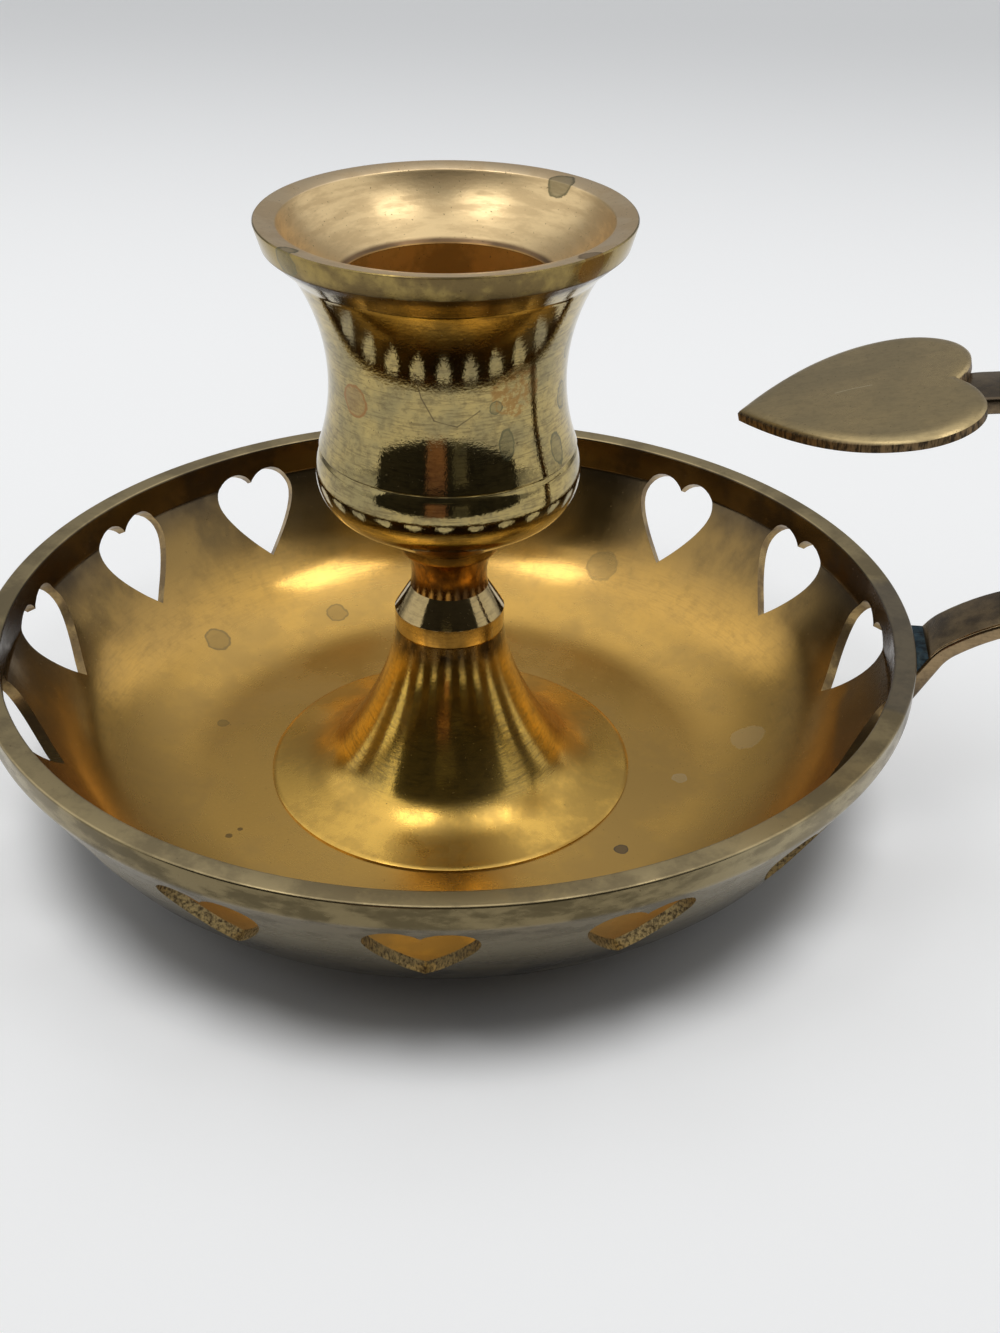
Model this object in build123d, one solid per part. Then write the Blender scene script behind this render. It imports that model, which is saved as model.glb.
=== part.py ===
from build123d import *
import os
from math import sin, cos, tan, atan2, radians

# Brass chamberstick: a pierced drip pan, a turned stem and candle cup held by one
# long screwed rod, and a strap finger loop with a heart-shaped thumb plate.
# Millimetres, +Z up. The origin is the centre of the underside, where the pan
# stands on the table, and the handle points along +X.

# drip pan
pan_radius = 54.0
pan_height = 23.2
pan_sheet = 1.25
rim_land = 2.5
rim_band = 2.7
rim_edge_break = 0.3
wall_lean = 30.0
pan_bend_radius = 20.8
boss_radius = 8.5
boss_rise = 4.6
boss_slope = 2.2
boss_bend_radius = 1.1

# hearts sawn through the pan wall
heart_count = 15
heart_width = 11.3
heart_height = 12.1
heart_top_drop = 3.9
heart_cleft_depth = 1.45
heart_tip_angle = 43.0
heart_lobe_share = 0.56
heart_start_angle = 10.7

# stem: a hollow bell with a turned collar on top
bell_foot_radius = 22.1
bell_edge = 0.35
bell_sheet = 1.0
bell_head = 1.6
stem_radius = 6.43
stem_seam_drop = 1.9
collar_rise = 3.5
collar_band = 2.4
seam_break = 0.15
bell_drop_shares = (0.343, 0.817, 0.972)
bell_flare_shares = (0.087, 0.438, 0.738)

# candle cup, with heights above the rim of the pan
cup_lip_radius = 20.0
cup_lip_height = 47.0
cup_lip_land = 2.43
cup_lip_fall = 0.45
cup_lip_band = 2.7
cup_lip_taper = 0.8
cup_undercut_radius = 16.3
cup_undercut_height = 41.6
cup_waist_radius = 12.96
cup_waist_height = 29.7
cup_groove_height = 21.3
cup_groove_width = 0.7
cup_groove_depth = 0.35
cup_belly_radius = 14.79
cup_belly_height = 18.3
cup_belly_bend = 4.2
cup_underside_angle = 37.0
cup_shoulder_radius = 14.3
neck_top_radius = 5.2
neck_step = 0.45
neck_step_height = 8.4
neck_waist_radius = 4.4
neck_waist_height = 5.1
neck_foot_radius = 4.55
bore_radius = 11.3
bore_mouth_height = 40.1
bore_length = 24.8
bore_chamfer = 0.6
flare_sag = 0.9

# rod, washer and nut that hold the stem to the pan
rod_radius = 2.0
rod_clearance = 0.1
rod_end_gap = 0.5
rod_cup_depth = 8.6
rod_point = 0.4
washer_radius = 5.0
washer_thickness = 0.8
nut_across_flats = 7.0
nut_thickness = 3.0
nut_chamfer = 0.5

# strap handle, its headings in degrees above the level, going outwards
strap_width = 7.6
strap_thickness = 1.9
strap_edge_radius = 0.45
foot_heading = 61.5
foot_face_reach = 2.76
foot_face_drop = 1.75
foot_length = 8.0
foot_bend_radius = 5.9
strap_rise_heading = 36.0
strap_arch_radius = 24.3
loop_heading = 18.0
loop_run = 1.6
loop_top_heading = 185.3
plate_bend_radius = 14.0
strap_foot_gap = 0.05

# heart-shaped thumb plate on the end of the strap
plate_width = 27.6
plate_length = 25.2
plate_thickness = 1.4
plate_slope = 12.5
plate_tip_radius = 31.4
plate_tip_height = 27.0
plate_cleft_depth = 1.95
plate_tip_angle = 58.0
plate_lobe_share = 0.54
plate_edge_break = 0.3
strap_cover = 14.0
strap_cleft_reach = 1.2

# braze that joins the strap to the pan and the plate to the strap
foot_braze_inset = 0.25
foot_braze_drop = 0.55
foot_braze_depth = 3.3
plate_braze_spread = 0.9
plate_braze_thickness = 0.5

# one overrun for every cut
overrun = 5.0


def turned(*edges):
    """A solid turned about Z from a closed outline of radius and height."""
    return revolve(Plane.XZ * make_face(list(edges)), Axis.Z)


def tube(outer, inner, bottom, top):
    """A plain ring about Z between two heights."""
    ring = Circle(outer) - Circle(inner)
    return extrude(Pos(0, 0, bottom) * ring, top - bottom)


def heart(width, height, cleft_depth, tip_angle, lobe_share):
    """A heart with its point at the origin and its lobes up along Y."""
    half = width / 2
    lobe = half * lobe_share
    tip = (0, 0)
    pull = (half, half / tan(radians(tip_angle)))
    wide = (half, height - lobe)
    crest = (half - lobe, height)
    cleft = (0, height - cleft_depth)
    side = Bezier(tip, pull, wide)
    shoulder = TangentArc(wide, crest, tangent=(0, 1))
    lobe_end = TangentArc(crest, cleft, tangent=(-1, 0))
    right = [side, shoulder, lobe_end]
    left = [mirror(edge, Plane.YZ) for edge in right]
    return make_face(right + left)


def wall_radius(height):
    """Outer radius of the pan's leaning wall at a height."""
    return pan_radius - (pan_height - rim_band - height) * tan(radians(wall_lean))


def drip_pan():
    wall_out = pan_sheet / cos(radians(wall_lean))
    outer_corner = (wall_radius(0), 0)
    inner_corner = (wall_radius(pan_sheet) - wall_out, pan_sheet)
    inner_rim = pan_radius - rim_land
    inner_band_foot = pan_height - rim_band - (rim_land - wall_out) / tan(radians(wall_lean))
    hole = rod_radius + rod_clearance
    inner_boss_bend = boss_bend_radius + pan_sheet
    outer = FilletPolyline(
        (hole, boss_rise), (boss_radius, boss_rise), (boss_radius + boss_slope, 0), outer_corner,
        (pan_radius, pan_height - rim_band), (pan_radius, pan_height),
        radius=[boss_bend_radius, inner_boss_bend, pan_bend_radius, rim_band / 2])
    shift = pan_sheet * tan(atan2(boss_rise, boss_slope) / 2)
    inner = FilletPolyline(
        (hole, boss_rise + pan_sheet), (boss_radius + shift, boss_rise + pan_sheet),
        (boss_radius + boss_slope + shift, pan_sheet), inner_corner,
        (inner_rim, inner_band_foot), (inner_rim, pan_height),
        radius=[inner_boss_bend, boss_bend_radius, pan_bend_radius - pan_sheet, rim_band / 2])
    body = turned(
        outer, inner, Line((hole, boss_rise), (hole, boss_rise + pan_sheet)),
        Line((inner_rim, pan_height), (pan_radius, pan_height)))
    rim_edges = body.edges().filter_by(GeomType.CIRCLE).filter_by_position(
        Axis.Z, pan_height - rim_edge_break / 2, pan_height + rim_edge_break / 2)
    body = fillet(rim_edges, rim_edge_break)
    return body - heart_cutters()


def heart_cutters():
    """Prisms square to the leaning wall, one for each heart."""
    lean = radians(wall_lean)
    tip_height = pan_height - heart_top_drop - heart_height * cos(lean)
    seat = Plane(origin=(wall_radius(tip_height), 0, tip_height),
                 x_dir=(0, 1, 0), z_dir=(cos(lean), 0, -sin(lean)))
    outline = heart(heart_width, heart_height, heart_cleft_depth, heart_tip_angle,
                    heart_lobe_share)
    prism = extrude(seat * outline, overrun, both=True)
    turns = [heart_start_angle + 360 * i / heart_count for i in range(heart_count)]
    return [Rot(0, 0, turn) * prism for turn in turns]


def bell_curve(inset):
    """The bell's side from the collar to the foot, moved in and down by an inset."""
    top = pan_height - stem_seam_drop - inset
    side = stem_radius - inset
    fall = pan_height - stem_seam_drop - pan_sheet - bell_edge
    flare = bell_foot_radius - stem_radius
    spot, way = (side, top), (0, -1)
    arcs = []
    for drop, reach in zip((*bell_drop_shares, 1), (*bell_flare_shares, 1)):
        arc = TangentArc(spot, (side + flare * reach, top - fall * drop), tangent=way)
        arcs.append(arc)
        spot, way = arc @ 1, arc % 1
    return Wire(arcs)


def bell_foot():
    top = pan_height - stem_seam_drop
    hole = rod_radius + rod_clearance
    side = bell_curve(0)
    body = turned(
        *side.edges(), Line(side @ 1, (bell_foot_radius, pan_sheet)),
        Line((bell_foot_radius, pan_sheet), (0, pan_sheet)),
        Line((0, pan_sheet), (0, top)), Line((0, top), side @ 0))
    inside = bell_curve(bell_sheet)
    low = (inside @ 1).Y - overrun
    ceiling = top - bell_head
    cavity = turned(
        *inside.edges(), Line(inside @ 1, ((inside @ 1).X, low)), Line(((inside @ 1).X, low), (0, low)),
        Line((0, low), (0, (inside @ 0).Y)), Line((0, (inside @ 0).Y), inside @ 0))
    cavity -= extrude(Pos(0, 0, ceiling) * Circle(bell_foot_radius), overrun)
    body -= cavity
    body -= extrude(Pos(0, 0, ceiling - overrun) * Circle(hole), bell_head + 2 * overrun)
    rim = body.edges().filter_by(GeomType.CIRCLE).group_by(Axis.Z)[-1].sort_by(SortBy.LENGTH)[-1]
    return chamfer(rim, seam_break)


def knop_collar():
    foot = pan_height - stem_seam_drop
    top = pan_height + collar_rise
    hole = rod_radius + rod_clearance
    band_top = foot + collar_band
    return turned(
        Polyline((hole, foot), (stem_radius - seam_break, foot), (stem_radius, foot + seam_break),
                 (stem_radius, band_top), (stem_radius - seam_break, band_top + seam_break),
                 (neck_foot_radius, top), (hole, top), close=True))


def cup_height(above_rim):
    return pan_height + above_rim


def cup_outline():
    """Outside of the cup from the foot of its neck up to the lip."""
    slope = radians(cup_underside_angle)
    bend_centre = cup_belly_radius - cup_belly_bend
    belly_z = cup_height(cup_belly_height)
    under_end = (bend_centre + cup_belly_bend * sin(slope), belly_z - cup_belly_bend * cos(slope))
    step_radius = neck_top_radius + neck_step
    step_top = (step_radius, under_end[1] - (under_end[0] - step_radius) * tan(slope))
    step_z = cup_height(neck_step_height)
    groove_z = cup_height(cup_groove_height)
    lip_z = cup_height(cup_lip_height)
    band_foot = (cup_lip_radius - cup_lip_taper, lip_z - cup_lip_band)
    groove_low = (cup_shoulder_radius, groove_z - cup_groove_width / 2)
    groove_high = (cup_shoulder_radius, groove_z + cup_groove_width / 2)
    undercut = (cup_undercut_radius, cup_height(cup_undercut_height))
    return [
        ThreePointArc((neck_foot_radius, cup_height(collar_rise)),
                      (neck_waist_radius, cup_height(neck_waist_height)), (neck_top_radius, step_z)),
        Line((neck_top_radius, step_z), (step_radius, step_z)),
        Line((step_radius, step_z), step_top),
        Line(step_top, under_end),
        TangentArc(under_end, (cup_belly_radius, belly_z), tangent=(cos(slope), sin(slope))),
        TangentArc((cup_belly_radius, belly_z), groove_low, tangent=(0, 1)),
        Line(groove_low, (cup_shoulder_radius - cup_groove_depth, groove_z)),
        Line((cup_shoulder_radius - cup_groove_depth, groove_z), groove_high),
        ThreePointArc(groove_high, (cup_waist_radius, cup_height(cup_waist_height)), undercut),
        TangentArc(undercut, band_foot, tangent=(1, 1)),
        Line(band_foot, (cup_lip_radius, lip_z)),
    ]


def candle_cup():
    foot_z = cup_height(collar_rise)
    lip_z = cup_height(cup_lip_height)
    inner_lip = (cup_lip_radius - cup_lip_land, lip_z - cup_lip_fall)
    mouth_z = cup_height(bore_mouth_height)
    bore_floor = mouth_z - bore_length
    flare_foot = (bore_radius + bore_chamfer, mouth_z + bore_chamfer)
    flare_mid = ((inner_lip[0] + flare_foot[0]) / 2 + flare_sag,
                 (inner_lip[1] + flare_foot[1]) / 2 - flare_sag)
    rod_hole = rod_radius + rod_clearance
    hole_top = foot_z + rod_cup_depth + rod_clearance
    outline = cup_outline()
    return turned(
        *outline,
        Line((cup_lip_radius, lip_z), inner_lip),
        ThreePointArc(inner_lip, flare_mid, flare_foot),
        Polyline(flare_foot, (bore_radius, mouth_z), (bore_radius, bore_floor), (0, bore_floor),
                 (0, hole_top), (rod_hole, hole_top), (rod_hole, foot_z),
                 (neck_foot_radius, foot_z)))


def tie_rod():
    low = rod_end_gap
    high = cup_height(collar_rise) + rod_cup_depth
    rod = extrude(Pos(0, 0, low) * Circle(rod_radius), high - low)
    ends = rod.edges().filter_by(GeomType.CIRCLE)
    return chamfer(ends, rod_point)


def rod_washer():
    return tube(washer_radius, rod_radius + rod_clearance, boss_rise - washer_thickness, boss_rise)


def rod_nut():
    top = boss_rise - washer_thickness
    bottom = top - nut_thickness
    flat = RegularPolygon(nut_across_flats / 2, 6, major_radius=False)
    nut = extrude(Pos(0, 0, bottom) * flat, nut_thickness)
    corner = nut_across_flats / 2 / cos(radians(30))
    cone_height = corner * tan(radians(60))
    dome = Pos(0, 0, bottom) * Cone(corner - nut_chamfer, corner - nut_chamfer + cone_height,
                                    cone_height, align=(Align.CENTER, Align.CENTER, Align.MIN))
    hole = extrude(Pos(0, 0, bottom) * Circle(rod_radius + rod_clearance), nut_thickness)
    return (nut & dome) - hole


def plate_frame():
    """Plane of the thumb plate's underside, its origin below the tip, X out along the plate."""
    slope = radians(plate_slope)
    up = (-sin(slope), 0, cos(slope))
    tip = (plate_tip_radius + plate_thickness * sin(slope), 0,
           cup_height(plate_tip_height) - plate_thickness * cos(slope))
    return Plane(origin=tip, x_dir=(cos(slope), 0, sin(slope)), z_dir=up)


def heading(angle):
    return (cos(radians(angle)), sin(radians(angle)))


def strap_route():
    """Middle line of the strap from its foot on the pan to its end under the plate."""
    half = strap_thickness / 2
    under = (pan_radius + foot_face_reach, pan_height - foot_face_drop)
    bend = (under[0] - half * sin(radians(foot_heading)), under[1] + half * cos(radians(foot_heading)))
    out = heading(foot_heading)
    start = (bend[0] - foot_length * out[0], bend[1] - foot_length * out[1])
    foot = Line(start, bend)
    turn_out = JernArc(bend, out, foot_bend_radius, strap_rise_heading - foot_heading)
    arch = JernArc(turn_out @ 1, turn_out % 1, strap_arch_radius, loop_heading - strap_rise_heading)
    low = heading(loop_heading)
    run = Line(arch @ 1, (arch @ 1) + Vector(*low) * loop_run)
    # the strap lies under the plate along a line that slopes back down towards the cup
    plate = plate_frame()
    back = heading(180 + plate_slope)
    turn_in = 180 + plate_slope - loop_top_heading
    seat_x = plate_length - plate_cleft_depth + strap_cleft_reach
    seat = plate.from_local_coords(Vector(seat_x, 0, -half))
    top = heading(loop_top_heading)
    bend_reach = plate_bend_radius * tan(radians(turn_in) / 2)
    meet = Vector(seat.X, seat.Z) - Vector(*back) * bend_reach
    top_end = meet - Vector(*top) * bend_reach
    # the loop's radius and the straight at its top close the route
    gap = top_end - (run @ 1)
    swing_x = sin(radians(loop_top_heading)) - sin(radians(loop_heading))
    swing_z = cos(radians(loop_heading)) - cos(radians(loop_top_heading))
    loop_radius = (gap.X * top[1] - gap.Y * top[0]) / (swing_x * top[1] - swing_z * top[0])
    loop = JernArc(run @ 1, low, loop_radius, loop_top_heading - loop_heading)
    straight = Line(loop @ 1, top_end)
    tuck = JernArc(top_end, top, plate_bend_radius, turn_in)
    tail = Line(tuck @ 1, (tuck @ 1) + Vector(*back) * strap_cover)
    return [foot, turn_out, arch, run, loop, straight, tuck, tail]


def strap_bar():
    """The bent strap before its foot is cut to the pan."""
    route = Plane.XZ * Wire(strap_route())
    start = Plane(origin=route @ 0, x_dir=(0, 1, 0), z_dir=route % 0)
    section = start * RectangleRounded(strap_width, strap_thickness, strap_edge_radius)
    return sweep(section, route)


def handle_strap():
    core = extrude(Circle(pan_radius + strap_foot_gap), pan_height + overrun)
    return strap_bar() - core


def thumb_plate():
    outline = heart(plate_width, plate_length, plate_cleft_depth, plate_tip_angle,
                    plate_lobe_share)
    seat = plate_frame()
    plate = extrude(seat * (Rot(0, 0, -90) * outline), plate_thickness)
    face_up = plate.faces().sort_by(Axis(seat.origin, seat.z_dir))[-1]
    return fillet(face_up.edges(), plate_edge_break)


def strap_braze():
    """Braze in the notch between the rim of the pan and the strap's foot."""
    top = pan_height - foot_braze_drop
    low = pan_height - foot_braze_depth
    inner = pan_radius - strap_thickness
    outer = pan_radius + foot_face_reach
    block = Pos((inner + outer) / 2, 0, (low + top) / 2) * Box(
        outer - inner, strap_width - 2 * foot_braze_inset, top - low)
    core = extrude(Circle(pan_radius), pan_height)
    pieces = block - core - strap_bar()
    return pieces.solids().sort_by(Axis.X)[0]


def plate_braze():
    """Braze that has run out from under the strap, below the plate."""
    seat_x = plate_length - plate_cleft_depth - strap_cover / 2
    pad = Rectangle(strap_cover, strap_width + 2 * plate_braze_spread)
    pool = extrude(plate_frame() * (Pos(seat_x, 0) * pad), -plate_braze_thickness)
    return pool - strap_bar()


def main():
    pieces = {
        "drip_pan": drip_pan(),
        "bell_foot": bell_foot(),
        "knop_collar": knop_collar(),
        "candle_cup": candle_cup(),
        "tie_rod": tie_rod(),
        "rod_washer": rod_washer(),
        "rod_nut": rod_nut(),
        "handle_strap": handle_strap(),
        "thumb_plate": thumb_plate(),
        "strap_braze": strap_braze(),
        "plate_braze": plate_braze(),
    }
    os.makedirs("parts", exist_ok=True)
    for name, solid in pieces.items():
        export_step(solid, f"parts/{name}.step")
        box = solid.bounding_box()
        print(name, len(solid.solids()), "solid", round(solid.volume, 1), "mm3",
              [round(v, 2) for v in (*box.min, *box.max)])


main()
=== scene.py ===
from math import atan2, cos, degrees, hypot, pi, radians, sin, tan

import bpy
from mathutils import Matrix, Vector, noise


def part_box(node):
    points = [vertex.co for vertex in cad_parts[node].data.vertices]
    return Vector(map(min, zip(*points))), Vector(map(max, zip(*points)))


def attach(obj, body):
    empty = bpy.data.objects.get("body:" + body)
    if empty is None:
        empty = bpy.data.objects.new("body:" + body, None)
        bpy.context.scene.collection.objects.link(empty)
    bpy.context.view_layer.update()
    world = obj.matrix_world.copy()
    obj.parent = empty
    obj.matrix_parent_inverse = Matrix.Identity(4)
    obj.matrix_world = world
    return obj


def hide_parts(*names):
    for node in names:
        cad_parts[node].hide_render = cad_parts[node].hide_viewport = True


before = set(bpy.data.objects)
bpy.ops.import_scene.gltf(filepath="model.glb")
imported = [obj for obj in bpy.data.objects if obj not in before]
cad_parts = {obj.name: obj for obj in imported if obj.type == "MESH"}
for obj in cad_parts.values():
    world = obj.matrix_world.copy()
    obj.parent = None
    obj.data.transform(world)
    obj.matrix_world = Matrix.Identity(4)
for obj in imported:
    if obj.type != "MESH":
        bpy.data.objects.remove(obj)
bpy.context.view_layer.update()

# An old brass chamberstick. +Z is up, the handle points along +X and the viewer stands towards -Y.
# In the dictionaries sizes are millimetres and angles are degrees.
mm = 0.001
mergeGap = 0.002 * mm
smoothAngle = radians(30)
bpy.ops.object.select_all(action="DESELECT")
panTop = round(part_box("drip_pan")[1].z / mm, 3)
print("frame loaded, pan top at", panTop)


# Outlines are lists of (radius, height).

def bend(start, heading, end, steps):
    # an arc that leaves start along heading, in degrees, and ends at end
    across, up = end[0] - start[0], end[1] - start[1]
    turn = (atan2(up, across) - radians(heading) + pi) % (2 * pi) - pi
    size = hypot(across, up) / (2 * sin(turn))
    points = []
    for i in range(1, steps + 1):
        part = turn * i / steps
        reach, way = 2 * size * sin(part), radians(heading) + part
        points.append((start[0] + reach * cos(way), start[1] + reach * sin(way)))
    return points


def through(start, middle, end, steps):
    # an arc through three points
    toMiddle = atan2(middle[1] - start[1], middle[0] - start[0])
    toEnd = atan2(end[1] - middle[1], end[0] - middle[0])
    onward = atan2(end[1] - start[1], end[0] - start[0])
    return bend(start, degrees(toMiddle + onward - toEnd), end, steps)


def soften(path, steps):
    # rounds each corner of a path that gives a third number, its bend radius
    points = [path[0][:2]]
    for before, corner, after in zip(path, path[1:], path[2:]):
        if len(corner) < 3:
            points.append(corner)
            continue
        spot = Vector(corner[:2])
        back = (Vector(before[:2]) - spot).normalized()
        on = (Vector(after[:2]) - spot).normalized()
        setBack = corner[2] / tan(back.angle(on) / 2)
        first, last = spot + back * setBack, spot + on * setBack
        points += [tuple(first)] + bend(first, degrees(atan2(-back.y, -back.x)), last, steps)
    return points + [path[-1][:2]]


def turnPiece(name, outline, segments):
    # a closed outline drawn point by point, then turned about the stem
    radius, height = outline[0]
    bpy.ops.mesh.primitive_plane_add(size=mm, location=(radius * mm, 0, height * mm))
    piece = bpy.context.object
    piece.name = piece.data.name = name
    bpy.ops.object.transform_apply(location=True)
    bpy.ops.object.mode_set(mode="EDIT")
    bpy.ops.mesh.merge(type="CENTER")
    for (r0, z0), (r1, z1) in zip(outline, outline[1:] + outline[:1]):
        step = ((r1 - r0) * mm, 0, (z1 - z0) * mm)
        bpy.ops.mesh.extrude_region_move(TRANSFORM_OT_translate={"value": step})
    bpy.ops.object.mode_set(mode="OBJECT")
    screw = piece.modifiers.new("turning", "SCREW")
    screw.steps = screw.render_steps = segments
    screw.use_merge_vertices, screw.merge_threshold = True, mergeGap
    bpy.ops.object.modifier_apply(modifier="turning")
    bpy.ops.object.mode_set(mode="EDIT")
    bpy.ops.mesh.select_all(action="SELECT")
    bpy.ops.mesh.remove_doubles(threshold=mergeGap)
    bpy.ops.mesh.normals_make_consistent(inside=False)
    bpy.ops.object.mode_set(mode="OBJECT")
    bpy.ops.object.shade_smooth_by_angle(angle=smoothAngle)
    piece.select_set(False)
    return piece


def heartCurve(name, heart):
    # a flat heart with its point at the origin and its lobes up along Y
    half, height, points = heart["width"] / 2, heart["height"], heart["points"]
    lobe = half * heart["lobeShare"]
    pull = (half, half / tan(radians(heart["tipAngle"])))
    wide, crest, cleft = (half, height - lobe), (half - lobe, height), (0, height - heart["cleft"])
    right = []
    for i in range(points):
        t = i / points
        right.append(tuple(Vector(pull) * 2 * (t - t * t) + Vector(wide) * t * t))
    right += [wide] + bend(wide, 90, crest, points // 2)
    right += bend(crest, 180, cleft, points // 2)
    left = [(-x, y) for x, y in reversed(right[1:-1])]
    bpy.ops.mesh.primitive_circle_add(vertices=len(right + left), fill_type="NGON")
    piece = bpy.context.object
    piece.name = piece.data.name = name
    for vertex, (x, y) in zip(piece.data.vertices, right + left):
        vertex.co = (x * mm, y * mm, 0)
    return piece


# Finishes

def add(tree, kind, settings=None, **inputs):
    # a new shader node, with inputs by name, or by number as i0, i1 and so on
    node = tree.nodes.new("ShaderNode" + kind)
    for key, value in (settings or {}).items():
        setattr(node, key, value)
    for key, value in inputs.items():
        socket = node.inputs[int(key[1:]) if key[1:].isdigit() else key]
        if isinstance(value, bpy.types.NodeSocket):
            tree.links.new(value, socket)
        else:
            socket.default_value = value
    return node


def numbered(values):
    return {f"i{i}": value for i, value in enumerate(values)}


def calc(tree, operation, *values):
    return add(tree, "Math", {"operation": operation}, **numbered(values)).outputs[0]


def vectorCalc(tree, operation, *values):
    node = add(tree, "VectorMath", {"operation": operation}, **numbered(values))
    return node.outputs["Value" if operation in ("LENGTH", "DISTANCE", "DOT_PRODUCT") else "Vector"]


def ramp(tree, value, low, high, start=0.0, end=1.0):
    node = add(tree, "MapRange", {"interpolation_type": "SMOOTHSTEP"}, Value=value,
               **{"From Min": low, "From Max": high, "To Min": start, "To Max": end})
    return node.outputs[0]


def mixColour(tree, part, first, second):
    return add(tree, "Mix", {"data_type": "RGBA"}, i0=part, i6=first, i7=second).outputs[2]


def mixValue(tree, part, first, second):
    return add(tree, "Mix", {"data_type": "FLOAT"}, i0=part, i2=first, i3=second).outputs[0]


def grain(tree, place, size, detail=3.0, rough=0.55):
    # soft noise with features of about size, in millimetres
    return add(tree, "TexNoise", Vector=place, Scale=1 / (size * mm), Detail=detail,
               Roughness=rough).outputs[0]


def stretched(tree, place, x, y, z):
    return vectorCalc(tree, "MULTIPLY", place, (x, y, z))


def gapTo(tree, place, spot, tall):
    # how far a point is from a spot in millimetres, with heights counted 1 / tall
    away = vectorCalc(tree, "SUBTRACT", place, [v * mm for v in spot])
    return vectorCalc(tree, "LENGTH", stretched(tree, away, 1 / mm, 1 / mm, 1 / mm / tall))


def gapToLine(tree, place, start, end):
    # how far a point is from a straight scratch, in millimetres
    along = (Vector(end) - Vector(start)) * mm
    off = vectorCalc(tree, "SUBTRACT", place, Vector(start) * mm)
    part = vectorCalc(tree, "DOT_PRODUCT", off, along / along.length_squared)
    part = add(tree, "Clamp", Value=part).outputs[0]
    near = add(tree, "VectorMath", {"operation": "SCALE"}, i0=along, Scale=part).outputs[0]
    return calc(tree, "DIVIDE", vectorCalc(tree, "DISTANCE", off, near), mm)


def brushing(tree, look, place, away, radius, up):
    # short fine strokes round the stem, or along the piece where it is not turned
    thin = look["strokeThin"]
    if look["turned"]:
        around = stretched(tree, away, *[look["turned"] * mm] * 3)
        x, y, _ = add(tree, "SeparateXYZ", Vector=around).outputs
        lane = add(tree, "CombineXYZ", X=x, Y=y, Z=calc(tree, "MULTIPLY", up, thin)).outputs[0]
        out = calc(tree, "MULTIPLY", radius, thin)
        spin = vectorCalc(tree, "CROSS_PRODUCT", (0, 0, 1), away)
    else:
        lane, out, spin = stretched(tree, place, 1, thin, thin), 0.0, None
    strokes = add(tree, "TexNoise", {"noise_dimensions": "4D"}, Vector=lane, W=out,
                  Scale=1 / (look["strokeSize"] * mm), Detail=4.0, Roughness=0.65)
    return strokes.outputs[0], spin


# An edge is where a mark or a side starts to show and where it shows in full.
sideEdges = {"outside": (0.05, 0.3), "underside": (-0.2, -0.6), "inside": (-0.02, -0.25),
             "top": (0.5, 0.9), "edge": (0.75, 0.5)}


def sideMask(tree, side, outward, upward):
    # which way a surface faces, on a piece turned about the stem
    if side == "outside":
        return calc(tree, "MAXIMUM", ramp(tree, outward, *sideEdges["outside"]),
                    ramp(tree, upward, *sideEdges["underside"]))
    if side == "inside":
        return ramp(tree, outward, *sideEdges["inside"])
    if side == "top":
        return ramp(tree, upward, *sideEdges["top"])
    return ramp(tree, calc(tree, "ABSOLUTE", upward), *sideEdges["edge"])


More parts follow.
